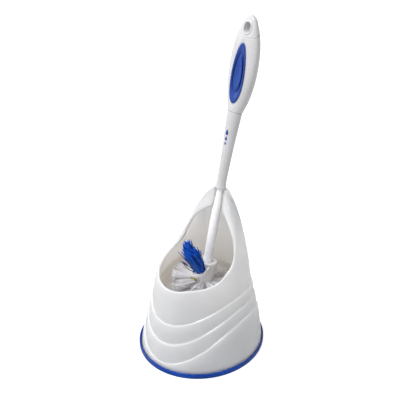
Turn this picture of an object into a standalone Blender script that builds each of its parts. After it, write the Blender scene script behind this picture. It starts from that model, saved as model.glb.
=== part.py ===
"""Toilet brush and its caddy: a hooded shell on a blue tray, and a brush that stands in it, leaning back.

Lengths in the constants are millimetres. The caddy's frame has its origin at the centre of its base, with
the open front towards -Y and +Z up. The brush has a frame of its own, held by the empty brush_axis: origin
where its collar rests on the shell's peak, +Z up along the leaning shaft, and -Y towards the front.
"""

import math

import bmesh
import bpy
import numpy as np
from mathutils import Matrix, Vector

MM = 0.001
GAP = 0.3
ROUND_SIDES = 32
SMOOTH_ANGLE = math.radians(35.0)

# Caddy shell: sections are ovals, each a front and a back half-ellipse that share one half width.
WALL = 2.2
STEP_PROUD = 1.35
STEP_HALF_HEIGHT = 0.6
SHELL_SIDES = 48
FOOT_Z = 2.7
FOOT_SECTION = {"half_width": 66.7, "centre": 0.0, "front": 71.6, "back": 72.0}
HOOD_Z = (105.6, 120.0, 135.0, 150.0, 165.0, 178.0, 190.0, 202.0, 208.0)
HOOD_HALF_WIDTH = (51.0, 46.2, 41.2, 37.0, 31.8, 26.0, 18.8, 8.4, 4.0)
HOOD_CENTRE = (12.3, 19.0, 23.5, 25.6, 27.3, 28.7, 29.2, 27.8, 27.0)
HOOD_FRONT = (71.0, 67.0, 63.0, 60.0, 58.0, 56.0, 54.0, 52.0, 51.0)
HOOD_SAMPLES = 65
HOOD_BACK_Y = (56.1, 40.4)
HOOD_BACK_Z = (105.6, 202.0)
OUTSIDE_LEVELS = (97.0, 105.6, 112.0, 119.0, 126.0, 134.0, 142.0, 150.0, 158.0, 166.0, 174.0, 182.0, 190.0)
OUTSIDE_PEAK = (197.0, 206.0)
STEP_CURVES = ((10.8, 171.6, -147.5), (37.1, 129.8, -110.3), (62.5, 92.2, -77.4))
CAVITY_BELOW_FOOT = 8.0
OPEN_CAVITY_LEVELS = (98.0, 105.6, 114.0, 122.0, 130.0)
PLATED_CAVITY_LEVELS = (131.0, 140.0, 150.0, 160.0, 170.0, 180.0, 186.0, 191.0)
CUT_REACH = 90.0
WINDOW_EDGE = (
    (-90.0, 96.8),
    (-58.7, 107.0),
    (-46.0, 110.6),
    (-31.0, 111.9),
    (-16.1, 115.2),
    (-6.9, 119.1),
    (1.1, 124.7),
    (7.4, 132.1),
    (12.2, 140.7),
    (16.2, 150.0),
)

WINDOW_SAMPLES = 28

# Brush axis in the caddy's frame, and the hood's front plate beside it.
SHOULDER = Vector((0.0, 31.35, 201.4))
LEAN = math.radians(13.67)
PLATE_FRONT = 2.5
PLATE_BACK = 0.3
PLATE_TOP = 16.0
SHAFT_CHANNEL_RADIUS = 5.2
SHAFT_CHANNEL = (-34.0, 12.0)
ARCH_CUT = (0.8, -26.0)
PEAK_CUT_RADIUS = 30.0
PEAK_CUT_TOP = 20.0
ARCH_EDGE = (
    (5.2, 6.0),
    (5.2, -2.0),
    (6.2, -16.5),
    (8.0, -25.6),
    (10.6, -27.6),
    (16.1, -32.0),
    (21.8, -37.7),
    (28.2, -45.3),
    (32.6, -53.1),
    (35.6, -60.7),
    (38.2, -68.0),
    (39.6, -78.0),
)

# Tray: offsets from the shell's foot outline, with heights, up its outer wall and down to its floor.
TRAY_FLOOR = 2.4
TRAY_PROFILE = (
    (1.9, 0.0),
    (2.7, 0.9),
    (2.6, 4.7),
    (2.1, 5.5),
    (0.9, 5.5),
    (0.4, 4.9),
    (0.4, TRAY_FLOOR),
    (-3.3, TRAY_FLOOR),
    (-4.6, 9.0),
    (-5.2, 9.6),
    (-6.0, 9.6),
    (-6.4, 9.0),
    (-6.2, TRAY_FLOOR),
)

# Rod and hub, along the brush axis.
ROD_TENON_RADIUS = 2.8
ROD_TENON_TOP = 22.0
ROD_PROFILE = ((3.25, -GAP), (4.4, -20.0), (5.2, -45.0), (4.95, -70.0), (4.65, -94.4))
ROD_FOOT_RADIUS = 3.6
ROD_FOOT_END = -117.0
HUB_TOP = -94.7
HUB_PROFILE = ((9.8, HUB_TOP), (11.0, -99.0), (11.0, -150.0), (9.6, -154.5), (6.0, -157.5))
HUB_CAP_RADIUS = 11.6
HUB_CAP_TOP = -92.0
HUB_CAP_EDGE = 0.6

# Blue tuft: a tilted carrier at the hub's front with bundles on an arc.
CARRIER_TILT = math.radians(40.0)
CARRIER_CENTRE = Vector((0.0, -10.5, -100.0))
CARRIER_RADIUS = 9.0
CARRIER_SCALLOP = 0.6
CARRIER_LOBES = 6
CARRIER_DEPTH = 6.0
CARRIER_ROD_CLEARANCE = 5.3
CARRIER_ROD_CUT = (-130.0, -60.0)
CARRIER_SEAT_TOP = 30.0
BUNDLE_ANGLES = (-75.0, -25.0, 25.0, 75.0)
BUNDLE_ARC = 5.4
BUNDLE_SETBACK = 0.6
BUNDLE_LEAN = math.radians(30.0)
BUNDLE_LENGTH = 48.0
BUNDLE_SPREAD = (11.0, 5.0)
BUNDLE_ROOT_RADIUS = 1.7
BUNDLE_TIP_RADIUS = 3.1
BUNDLE_SEAT = 3.2
BUNDLE_HOLE_MOUTH = 3.0
BUNDLE_SIDES = 10

# White tufts: rows of (height on the axis, count, first angle, tilt, tip radius).
TUFT_ROWS = (
    (-115.5, 10, -8.0, 0.0, 37.4),
    (-126.0, 10, 10.0, -2.0, 37.2),
    (-136.5, 10, -8.0, -7.0, 35.5),
    (-147.0, 8, 12.0, -24.0, 31.0),
)
TUFT_SEAT_RADIUS = 7.6
TUFT_ROOT_RADIUS = 1.5
TUFT_TIP_RADIUS = 3.6
TUFT_SIDES = 10
TUFT_HOLE_LENGTH = 9.0
TUFT_HOLE_FLARE = 0.75
TUFT_HOLE_SIDES = 8
END_TUFT = (-151.5, -174.0)
STAPLE_SIZE = (8.4, 1.8, 1.4)
STAPLE_CENTRE = Vector((-2.6, -13.2, -112.2))
STAPLE_EDGE = 0.3

# Handle: ovals of (height, half width, front, back) along the axis.
STEM_SECTIONS = (
    (0.0, 6.2, 6.2, 6.2),
    (2.6, 6.2, 6.2, 6.2),
    (6.5, 5.6, 5.6, 5.6),
    (16.0, 5.5, 5.45, 5.55),
    (35.0, 6.0, 5.8, 6.3),
    (56.0, 6.7, 6.3, 7.3),
    (74.0, 7.6, 6.7, 8.5),
    (91.2, 8.4, 6.9, 9.7),
)
STEM_SPIGOT = ((91.2, 5.4, 1.9, 6.8), (104.0, 5.4, 1.9, 6.8))
STEM_BORE_RADIUS = 3.1
STEM_BORE = (-2.0, 22.4)
STEM_RINGS = 22
GRIP_SECTIONS = (
    (91.5, 8.6, 7.0, 9.8),
    (98.0, 10.4, 7.0, 12.6),
    (105.0, 12.2, 7.0, 15.2),
    (120.0, 15.2, 7.0, 17.4),
    (135.0, 17.0, 7.0, 17.6),
    (150.0, 17.6, 7.0, 16.6),
    (165.0, 16.8, 6.8, 14.8),
    (178.0, 14.4, 6.4, 12.6),
    (188.0, 11.2, 5.6, 10.4),
    (196.0, 7.2, 4.0, 7.6),
    (201.0, 3.6, 1.8, 5.0),
    (203.0, 0.8, -0.6, 2.6),
)
GRIP_WALL = 2.4
GRIP_FRONT_WALL = 4.8
GRIP_SIDES = 36
GRIP_RINGS = 30
GRIP_HOLLOW = (88.0, 199.0)
GRIP_CORE_RINGS = 12
CAP_SEAM = ((-6.4, 178.0), (12.0, 186.5))
SEAM_BOX = (80.0, 80.0, 120.0)
CAP_SPIGOT = (172.0, 186.0)
HOLE_HALF_WIDTH = 4.0
HOLE_LENGTH = 12.0
HOLE_CENTRE = Vector((0.0, 2.0, 191.2))
HOLE_TILT = math.radians(12.0)
HOLE_SIDES = 24
HOLE_REACH = 20.0
INSET_MIDDLE = 137.5
INSET_HALF_LENGTH = 34.5
INSET_HALF_WIDTH = 9.7
INSET_POINTEDNESS = 0.15
INSET_FLOOR = 4.5
INSET_POCKET_REACH = 14.0
INSET_RINGS = ((1.0, None), (1.0, 0.45), (0.86, 0.7), (0.68, -0.6), (0.34, -1.0))

for old in list(bpy.data.objects):
    bpy.data.objects.remove(old, do_unlink=True)

PARTS = bpy.data.collections.new("toilet_brush_holder")
CUTTERS = bpy.data.collections.new("cutters")
for collection in (PARTS, CUTTERS):
    bpy.context.scene.collection.children.link(collection)


def material(name, colour, roughness, metallic=0.0):
    made = bpy.data.materials.new(name)
    made.use_nodes = True
    shader = made.node_tree.nodes["Principled BSDF"]
    shader.inputs["Base Color"].default_value = (*colour, 1.0)
    shader.inputs["Roughness"].default_value = roughness
    shader.inputs["Metallic"].default_value = metallic
    return made


def add_object(name, mesh_data, finish=None, parent=None):
    """Links an object into the parts, or into the cutters when it has no finish."""
    made = bpy.data.objects.new(name, mesh_data)
    made.parent = parent
    if finish is None:
        CUTTERS.objects.link(made)
        made.hide_render = True
        made.display_type = "WIRE"
        return made
    PARTS.objects.link(made)
    if not mesh_data.materials:
        mesh_data.materials.append(finish)
    mesh_data.shade_smooth()
    mesh_data.set_sharp_from_angle(angle=SMOOTH_ANGLE)
    return made


def mesh_from(bm, name):
    """Turns a bmesh in millimetres into a mesh in metres with its faces outwards."""
    bmesh.ops.recalc_face_normals(bm, faces=bm.faces)
    bmesh.ops.scale(bm, vec=(MM, MM, MM), verts=bm.verts)
    made = bpy.data.meshes.new(name)
    bm.to_mesh(made)
    bm.free()
    return made


def loft(name, rings):
    """Closed solid through rings of equal point counts, with a fan over each end."""
    bm = bmesh.new()
    loops = [[bm.verts.new(point) for point in ring] for ring in rings]
    for lower, upper in zip(loops, loops[1:]):
        for i in range(len(lower)):
            j = (i + 1) % len(lower)
            bm.faces.new((lower[i], lower[j], upper[j], upper[i]))
    for ring, end in ((rings[0], loops[0]), (rings[-1], loops[-1])):
        middle = bm.verts.new(sum((Vector(point) for point in ring), Vector()) / len(ring))
        for i in range(len(end)):
            bm.faces.new((end[i], end[(i + 1) % len(end)], middle))
    return mesh_from(bm, name)


def turned(name, profile, finish, parent):
    """Round piece from a closed (radius, height) profile that runs down its outer side."""
    bm = bmesh.new()
    verts = [bm.verts.new((radius * MM, 0.0, height * MM)) for radius, height in profile]
    for start, end in zip(verts, verts[1:]):
        bm.edges.new((start, end))
    if profile[0][0] > 0.0:
        bm.edges.new((verts[-1], verts[0]))
    outline = bpy.data.meshes.new(name)
    bm.to_mesh(outline)
    bm.free()
    made = add_object(name, outline, finish, parent)
    screw = made.modifiers.new("turn", "SCREW")
    screw.steps = ROUND_SIDES
    screw.render_steps = ROUND_SIDES
    screw.use_merge_vertices = True
    screw.merge_threshold = 0.000001
    return made


def cone_between(bm, start, end, start_radius, end_radius, sides):
    """Adds a capped cone from start to end."""
    along = end - start
    placed = Matrix.Translation((start + end) / 2) @ along.to_track_quat("Z", "Y").to_matrix().to_4x4()
    bmesh.ops.create_cone(
        bm,
        cap_ends=True,
        segments=sides,
        radius1=start_radius,
        radius2=end_radius,
        depth=along.length,
        matrix=placed,
    )


def cone(name, start, end, start_radius, end_radius, sides):
    bm = bmesh.new()
    cone_between(bm, start, end, start_radius, end_radius, sides)
    return mesh_from(bm, name)


def cylinder(name, start, end, radius):
    return cone(name, start, end, radius, radius, ROUND_SIDES)


def on_axis(z):
    """A point on the brush's own axis."""
    return Vector((0.0, 0.0, z))


def cut(target, cutter, operation="DIFFERENCE"):
    change = target.modifiers.new(cutter.name, "BOOLEAN")
    change.operation = operation
    change.object = cutter
    change.solver = "EXACT"


def smooth_through(points, count):
    """Even samples of a Catmull-Rom curve through 2D points."""
    known = np.array(points)
    padded = np.vstack((2 * known[0] - known[1], known, 2 * known[-1] - known[-2]))
    samples = []
    for t in np.linspace(0.0, len(points) - 1.0, count):
        i = min(int(t), len(points) - 2)
        u = t - i
        p0, p1, p2, p3 = padded[i : i + 4]
        bend = (2 * p0 - 5 * p1 + 4 * p2 - p3) * u**2 + (3 * p1 - p0 - 3 * p2 + p3) * u**3
        samples.append(0.5 * (2 * p1 + (p2 - p0) * u + bend))
    return samples


def prism(name, outline, near, far, place):
    """Closed extrusion of a 2D outline; place(u, v, depth) gives each corner."""
    return loft(name, [[place(u, v, depth) for u, v in outline] for depth in (near, far)])


# ---------------------------------------------------------------- caddy shell

HOOD_ROWS = list(zip(HOOD_Z, HOOD_HALF_WIDTH, HOOD_CENTRE, HOOD_FRONT))
HOOD_CURVE = np.array(smooth_through(HOOD_ROWS, HOOD_SAMPLES))


def section(z):
    """Half width, centre, front and back reach of the shell's outer face at a height, above all steps."""
    if z >= HOOD_Z[0]:
        half_width, centre, front = (np.interp(z, HOOD_CURVE[:, 0], HOOD_CURVE[:, i]) for i in (1, 2, 3))
        back_y = np.interp(z, HOOD_BACK_Z, HOOD_BACK_Y)
        return half_width, centre, front, back_y - centre
    share = z / HOOD_Z[0]
    foot = FOOT_SECTION
    half_width = foot["half_width"] + (HOOD_HALF_WIDTH[0] - foot["half_width"]) * share
    centre = foot["centre"] + (HOOD_CENTRE[0] - foot["centre"]) * share
    front = foot["front"] + (HOOD_FRONT[0] - foot["front"]) * share
    back = foot["back"] + (HOOD_BACK_Y[0] - HOOD_CENTRE[0] - foot["back"]) * share
    return half_width, centre, front, back


def shell_point(angle, z, offset):
    """Point on the shell's face, offset outwards; angle 0 is the front and pi is the back."""
    half_width, centre, front, back = section(z)
    reach = front if math.cos(angle) > 0 else back
    return Vector((
        (half_width + offset) * math.sin(angle),
        centre - (reach + offset) * math.cos(angle),
        z,
    ))


def step_height(curve, angle):
    """Height of a step's ledge, lowest at the front."""
    low, rise, fall = curve
    share = (1 - math.cos(angle)) / 2
    return low + rise * share + fall * share**2


ANGLES = [math.tau * i / SHELL_SIDES for i in range(SHELL_SIDES)]


def level_ring(z, offset):
    return [shell_point(angle, z, offset) for angle in ANGLES]


def step_ring(curve, above, offset):
    return [shell_point(angle, step_height(curve, angle) + above, offset) for angle in ANGLES]


def shell_outside():
    rings = [level_ring(FOOT_Z, len(STEP_CURVES) * STEP_PROUD)]
    for i, curve in enumerate(STEP_CURVES):
        proud = (len(STEP_CURVES) - i) * STEP_PROUD
        rings.append(step_ring(curve, -STEP_HALF_HEIGHT, proud))
        rings.append(step_ring(curve, STEP_HALF_HEIGHT, proud - STEP_PROUD))
    rings += [level_ring(z, 0.0) for z in OUTSIDE_LEVELS + OUTSIDE_PEAK]
    return loft("caddy_shell", rings)


def shell_inside():
    """Cavity, kept behind the hood's front plate from the arch's foot up."""
    rings = [level_ring(FOOT_Z - CAVITY_BELOW_FOOT, len(STEP_CURVES) * STEP_PROUD - WALL)]
    for i, curve in enumerate(STEP_CURVES):
        proud = (len(STEP_CURVES) - 1 - i) * STEP_PROUD
        rings.append(step_ring(curve, STEP_HALF_HEIGHT, proud - WALL))
    rings += [level_ring(z, -WALL) for z in OPEN_CAVITY_LEVELS]
    plate = brush_point(0.0, -PLATE_BACK, 0.0)
    for z in PLATED_CAVITY_LEVELS:
        ring = level_ring(z, -WALL)
        for point in ring:
            point.y = max(point.y, plate.y + (z - plate.z) * math.tan(LEAN))
        rings.append(ring)
    return loft("shell_cavity", rings)


BRUSH_FRAME = Matrix.Translation(SHOULDER) @ Matrix.Rotation(-LEAN, 4, "X")


def brush_point(x, y, z):
    """A point of the brush's frame in the caddy's frame."""
    return BRUSH_FRAME @ Vector((x, y, z))


def window_outline():
    """Side view of the opening's edge: over the lip, up the sides, then parallel to the brush axis."""
    edge = [tuple(point) for point in smooth_through(WINDOW_EDGE, WINDOW_SAMPLES)]
    top = brush_point(0.0, -PLATE_FRONT, PLATE_TOP)
    edge.append((top.y, top.z))
    edge.append((edge[0][0], top.z))
    return edge


def make_caddy_shell(finish):
    shell = add_object("caddy_shell", shell_outside(), finish)
    cavity = add_object("shell_cavity", shell_inside())
    window = add_object(
        "window_cutter",
        prism("window_cutter", window_outline(), -CUT_REACH, CUT_REACH, lambda y, z, x: Vector((x, y, z))),
    )
    right_edge = list(ARCH_EDGE)
    left_edge = [(-x, z) for x, z in reversed(ARCH_EDGE)]
    arch = add_object(
        "arch_cutter",
        prism("arch_cutter", right_edge + left_edge, *ARCH_CUT, lambda x, z, y: brush_point(x, y, z)),
    )
    channel = add_object(
        "shaft_channel",
        cylinder("shaft_channel", *(brush_point(0, 0, z) for z in SHAFT_CHANNEL), SHAFT_CHANNEL_RADIUS),
    )
    top = add_object(
        "peak_cutter",
        cylinder("peak_cutter", *(brush_point(0, 0, z) for z in (-GAP, PEAK_CUT_TOP)), PEAK_CUT_RADIUS),
    )
    for cutter in (cavity, window, arch, channel, top):
        cut(shell, cutter)


def make_tray(finish):
    half_width, centre, front, back = section(FOOT_Z)
    proud = len(STEP_CURVES) * STEP_PROUD
    rings = []
    for offset, z in TRAY_PROFILE:
        reach = offset + proud
        rings.append([
            Vector((
                (half_width + reach) * math.sin(angle),
                centre - ((front if math.cos(angle) > 0 else back) + reach) * math.cos(angle),
                z,
            ))
            for angle in ANGLES
        ])
    add_object("base_tray", loft("base_tray", rings), finish)


# ---------------------------------------------------------------- shaft, hub and tufts


def make_rod(finish, axis):
    profile = [(0.0, ROD_TENON_TOP), (ROD_TENON_RADIUS, ROD_TENON_TOP), (ROD_TENON_RADIUS, -GAP)]
    profile += list(ROD_PROFILE)
    profile += [(ROD_FOOT_RADIUS, ROD_PROFILE[-1][1]), (ROD_FOOT_RADIUS, ROD_FOOT_END), (0.0, ROD_FOOT_END)]
    turned("brush_rod", profile, finish, axis)


def carrier_frame():
    return Matrix.Translation(CARRIER_CENTRE) @ Matrix.Rotation(CARRIER_TILT, 4, "X")


def carrier_outline(extra):
    outline = []
    for angle in ANGLES:
        radius = CARRIER_RADIUS + CARRIER_SCALLOP * math.cos(CARRIER_LOBES * angle) + extra
        outline.append((radius * math.sin(angle), -radius * math.cos(angle)))
    return outline


def carrier_prism(name, extra, low, high):
    frame = carrier_frame()
    return prism(name, carrier_outline(extra), low, high, lambda x, y, z: frame @ Vector((x, y, z)))


def bundle_line(angle):
    """Root and tip centres of one blue bundle, and the seat's end below the root."""
    turn = math.radians(angle)
    frame = carrier_frame()
    root = frame @ Vector((BUNDLE_ARC * math.sin(turn), BUNDLE_SETBACK - BUNDLE_ARC * math.cos(turn), 0.0))
    lean = Matrix.Rotation(BUNDLE_LEAN, 4, "X")
    along = lean @ Vector((0.0, 0.0, BUNDLE_LENGTH))
    aside = lean @ Vector((BUNDLE_SPREAD[0] * math.sin(turn), -BUNDLE_SPREAD[1] * math.cos(turn), 0.0))
    tip = CARRIER_CENTRE + along + aside
    seat = root - (tip - root).normalized() * BUNDLE_SEAT
    return seat, root, tip


def make_carrier_and_bundles(carrier_finish, bundle_finish, axis):
    holes = bmesh.new()
    for i, angle in enumerate(BUNDLE_ANGLES):
        seat, root, tip = bundle_line(angle)
        bundle = cone(f"blue_tuft_{i + 1}", seat, tip, BUNDLE_ROOT_RADIUS, BUNDLE_TIP_RADIUS, BUNDLE_SIDES)
        add_object(f"blue_tuft_{i + 1}", bundle, bundle_finish, axis)
        along = (tip - root).normalized()
        cone_between(
            holes,
            seat - along * GAP,
            root + along * BUNDLE_HOLE_MOUTH,
            BUNDLE_ROOT_RADIUS + GAP,
            BUNDLE_ROOT_RADIUS + 2 * GAP,
            BUNDLE_SIDES,
        )
    hole_cutter = add_object("bundle_holes", mesh_from(holes, "bundle_holes"), parent=axis)
    carrier = add_object(
        "blue_tuft_carrier",
        carrier_prism("blue_tuft_carrier", 0.0, -CARRIER_DEPTH, 0.0),
        carrier_finish,
        axis,
    )
    rod_space = add_object(
        "carrier_rod_space",
        cylinder("carrier_rod_space", *(on_axis(z) for z in CARRIER_ROD_CUT), CARRIER_ROD_CLEARANCE),
        parent=axis,
    )
    cut(carrier, rod_space)
    cut(carrier, hole_cutter)


def tuft_lines():
    """Name, hub-side end and tip of every white tuft."""
    lines = []
    for row, (height, count, first, tilt, tip_radius) in enumerate(TUFT_ROWS):
        rise = math.tan(math.radians(tilt))
        for i in range(count):
            turn = math.radians(first + 360.0 * i / count)
            outward = Vector((math.sin(turn), -math.cos(turn), 0.0))
            start = outward * TUFT_SEAT_RADIUS + Vector((0.0, 0.0, height))
            reach = tip_radius - TUFT_SEAT_RADIUS
            tip = start + outward * reach + Vector((0.0, 0.0, reach * rise))
            lines.append((f"tuft_{row + 1}_{i + 1:02d}", start, tip))
    lines.append(("tuft_end", *(on_axis(z) for z in END_TUFT)))
    return lines


def make_hub_and_tufts(hub_finish, tuft_finish, axis):
    holes = bmesh.new()
    for name, start, tip in tuft_lines():
        tuft = cone(name, start, tip, TUFT_ROOT_RADIUS, TUFT_TIP_RADIUS, TUFT_SIDES)
        add_object(name, tuft, tuft_finish, axis)
        along = (tip - start).normalized()
        cone_between(
            holes,
            start - along * GAP,
            start + along * TUFT_HOLE_LENGTH,
            TUFT_ROOT_RADIUS + GAP,
            TUFT_ROOT_RADIUS + GAP + TUFT_HOLE_FLARE,
            TUFT_HOLE_SIDES,
        )
    hole_cutter = add_object("tuft_holes", mesh_from(holes, "tuft_holes"), parent=axis)
    bore = ROD_FOOT_RADIUS + GAP
    bore_end = ROD_FOOT_END - GAP
    profile = [(bore, HUB_TOP), *HUB_PROFILE, (0.0, HUB_PROFILE[-1][1]), (0.0, bore_end), (bore, bore_end)]
    hub = turned("brush_hub", profile, hub_finish, axis)
    seat = add_object(
        "carrier_seat",
        carrier_prism("carrier_seat", GAP, -CARRIER_DEPTH - GAP, CARRIER_SEAT_TOP),
        parent=axis,
    )
    cut(hub, hole_cutter)
    cut(hub, seat)

    cap_bore = ROD_PROFILE[-1][0] + GAP
    cap_low = HUB_TOP + GAP
    cap_profile = [
        (cap_bore, HUB_CAP_TOP),
        (HUB_CAP_RADIUS - HUB_CAP_EDGE, HUB_CAP_TOP),
        (HUB_CAP_RADIUS, HUB_CAP_TOP - HUB_CAP_EDGE),
        (HUB_CAP_RADIUS, cap_low + HUB_CAP_EDGE),
        (HUB_CAP_RADIUS - HUB_CAP_EDGE, cap_low),
        (cap_bore, cap_low),
    ]
    cap = turned("hub_cap", cap_profile, hub_finish, axis)
    cut(cap, seat)


def make_staple(finish, axis):
    """Wire bar that pins the carrier, with bevelled edges."""
    bm = bmesh.new()
    bmesh.ops.create_cube(bm, size=1.0)
    bmesh.ops.scale(bm, vec=STAPLE_SIZE, verts=bm.verts)
    bmesh.ops.translate(bm, vec=STAPLE_CENTRE, verts=bm.verts)
    staple = add_object("anchor_staple", mesh_from(bm, "anchor_staple"), finish, axis)
    bevel = staple.modifiers.new("edges", "BEVEL")
    bevel.width = STAPLE_EDGE * MM
    bevel.segments = 2


# ---------------------------------------------------------------- handle


def oval(height, half_width, front, back):
    """Ring of a front and a back half-ellipse, or of one ellipse where the axis lies outside it."""
    ring = []
    for i in range(GRIP_SIDES):
        angle = math.tau * i / GRIP_SIDES
        middle = (back - front) / 2
        depth = (back + front) / 2
        if front > 0:
            middle = 0.0
            depth = front if math.cos(angle) > 0 else back
        ring.append(Vector((half_width * math.sin(angle), middle - depth * math.cos(angle), height)))
    return ring


def grip_size(height):
    """Half width, front and back of the grip's outer face at a height."""
    heights = [row[0] for row in GRIP_SECTIONS]
    return [np.interp(height, heights, [row[i] for row in GRIP_SECTIONS]) for i in (1, 2, 3)]


def grip_front(x, height):
    """How far forward the grip's face is at a place."""
    half_width, front, _ = grip_size(height)
    return front * math.sqrt(max(0.0, 1 - (x / half_width) ** 2))


def grip_outside(name):
    return loft(name, [oval(*row) for row in smooth_through(GRIP_SECTIONS, GRIP_RINGS)])


def grip_core(name, low, high, shrink):
    """Loft inside the grip's wall between two heights."""
    rings = []
    walls = (GRIP_WALL, GRIP_FRONT_WALL, GRIP_WALL)
    for height in np.linspace(low, high, GRIP_CORE_RINGS):
        sizes = [size - wall - shrink for size, wall in zip(grip_size(height), walls)]
        rings.append(oval(height, *sizes))
    return loft(name, rings)


def seam_box(name, side):
    """Large box whose face is the cap's seam; side is +1 above it and -1 below it."""
    (front_y, front_z), (back_y, back_z) = CAP_SEAM
    slope = math.atan2(back_z - front_z, back_y - front_y)
    bm = bmesh.new()
    bmesh.ops.create_cube(bm, size=1.0)
    bmesh.ops.scale(bm, vec=SEAM_BOX, verts=bm.verts)
    bmesh.ops.translate(bm, vec=(0.0, 0.0, side * (SEAM_BOX[2] - GAP) / 2), verts=bm.verts)
    placed = Matrix.Translation((0.0, front_y, front_z)) @ Matrix.Rotation(slope, 4, "X")
    bmesh.ops.transform(bm, matrix=placed, verts=bm.verts)
    return mesh_from(bm, name)


def make_stem(finish, axis):
    rings = [oval(*row) for row in smooth_through(STEM_SECTIONS, STEM_RINGS)]
    rings += [oval(*row) for row in STEM_SPIGOT]
    stem = add_object("handle_stem", loft("handle_stem", rings), finish, axis)
    bore = add_object(
        "stem_bore",
        cylinder("stem_bore", *(on_axis(z) for z in STEM_BORE), STEM_BORE_RADIUS),
        parent=axis,
    )
    cut(stem, bore)


def inset_outline(scale):
    outline = []
    for i in range(GRIP_SIDES):
        turn = math.tau * i / GRIP_SIDES
        x = INSET_HALF_WIDTH * scale * math.sin(turn) * (1 - INSET_POINTEDNESS * math.cos(turn))
        outline.append((x, INSET_MIDDLE + INSET_HALF_LENGTH * scale * math.cos(turn)))
    return outline


def make_grip(shell_finish, inset_finish, axis):
    shell = add_object("grip_shell", grip_outside("grip_shell"), shell_finish, axis)
    hollow = add_object("grip_hollow", grip_core("grip_hollow", *GRIP_HOLLOW, 0.0), parent=axis)
    above = add_object("above_seam", seam_box("above_seam", 1), parent=axis)
    wider = 1 + GAP / INSET_HALF_WIDTH
    pocket_depths = (GAP - INSET_FLOOR, -INSET_POCKET_REACH)
    pocket = add_object(
        "inset_pocket",
        prism("inset_pocket", inset_outline(wider), *pocket_depths, lambda x, z, y: Vector((x, y, z))),
        parent=axis,
    )
    for cutter in (hollow, above, pocket):
        cut(shell, cutter)

    rings = []
    for scale, proud in INSET_RINGS:
        ring = []
        for x, height in inset_outline(scale):
            forward = INSET_FLOOR if proud is None else grip_front(x, height) + proud
            ring.append(Vector((x, -forward, height)))
        rings.append(ring)
    add_object("grip_inset", loft("grip_inset", rings), inset_finish, axis)


def make_end_cap(finish, axis):
    cap = add_object("end_cap", grip_outside("end_cap"), finish, axis)
    below = add_object("below_seam", seam_box("below_seam", -1), parent=axis)
    spigot = add_object("cap_spigot", grip_core("cap_spigot", *CAP_SPIGOT, GAP), parent=axis)
    outline = []
    straight = HOLE_LENGTH / 2 - HOLE_HALF_WIDTH
    for i in range(HOLE_SIDES):
        turn = math.tau * (i + 0.5) / HOLE_SIDES
        lift = straight if math.cos(turn) > 0 else -straight
        outline.append((HOLE_HALF_WIDTH * math.sin(turn), HOLE_HALF_WIDTH * math.cos(turn) + lift))
    tilt = Matrix.Translation(HOLE_CENTRE) @ Matrix.Rotation(HOLE_TILT, 4, "X")
    hole = add_object(
        "hanging_hole",
        prism("hanging_hole", outline, -HOLE_REACH, HOLE_REACH, lambda x, z, y: tilt @ Vector((x, y, z))),
        parent=axis,
    )
    cut(cap, below)
    cut(cap, spigot, "UNION")
    cut(cap, hole)


def main():
    shell_white = material("shell_white", (0.86, 0.86, 0.85), 0.28)
    tray_blue = material("tray_blue", (0.01, 0.09, 0.45), 0.3)
    handle_white = material("handle_white", (0.84, 0.84, 0.86), 0.32)
    rod_white = material("rod_white", (0.82, 0.82, 0.84), 0.35)
    inset_blue = material("inset_blue", (0.03, 0.07, 0.42), 0.25)
    bristle_white = material("bristle_white", (0.85, 0.85, 0.86), 0.5)
    bristle_blue = material("bristle_blue", (0.01, 0.06, 0.55), 0.45)
    brass = material("staple_brass", (0.55, 0.5, 0.18), 0.35, 1.0)

    axis = bpy.data.objects.new("brush_axis", None)
    PARTS.objects.link(axis)
    axis.matrix_world = Matrix.Translation(SHOULDER * MM) @ Matrix.Rotation(-LEAN, 4, "X")

    make_caddy_shell(shell_white)
    make_tray(tray_blue)
    make_rod(rod_white, axis)
    make_carrier_and_bundles(handle_white, bristle_blue, axis)
    make_hub_and_tufts(handle_white, bristle_white, axis)
    make_staple(brass, axis)
    make_stem(handle_white, axis)
    make_grip(handle_white, inset_blue, axis)
    make_end_cap(handle_white, axis)


main()
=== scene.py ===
"""Looks of the toilet brush and its caddy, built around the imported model.

Shapes are worked out in millimetres, in the caddy's frame: origin at the centre of the base, open front
towards -Y, +Z up. The brush has a frame of its own, with its origin where the collar rests on the shell's
peak, +Z up along the leaning shaft and -Y towards the front.
"""

import math

import bpy
import numpy as np
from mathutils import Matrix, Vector


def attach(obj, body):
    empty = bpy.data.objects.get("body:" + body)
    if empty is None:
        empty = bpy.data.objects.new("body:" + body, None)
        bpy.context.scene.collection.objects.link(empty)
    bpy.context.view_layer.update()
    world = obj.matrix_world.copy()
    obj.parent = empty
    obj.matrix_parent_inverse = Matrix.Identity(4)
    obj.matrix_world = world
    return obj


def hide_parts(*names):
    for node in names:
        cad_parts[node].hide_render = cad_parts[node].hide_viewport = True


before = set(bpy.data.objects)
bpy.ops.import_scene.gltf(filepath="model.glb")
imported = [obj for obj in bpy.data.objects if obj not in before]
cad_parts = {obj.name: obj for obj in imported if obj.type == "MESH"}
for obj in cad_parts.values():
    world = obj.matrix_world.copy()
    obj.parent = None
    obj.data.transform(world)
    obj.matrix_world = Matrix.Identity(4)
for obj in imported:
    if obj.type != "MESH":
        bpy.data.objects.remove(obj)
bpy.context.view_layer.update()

MM = 0.001
rng = np.random.default_rng(7)

# ---------------- driving sizes, as in the CAD source

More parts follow.
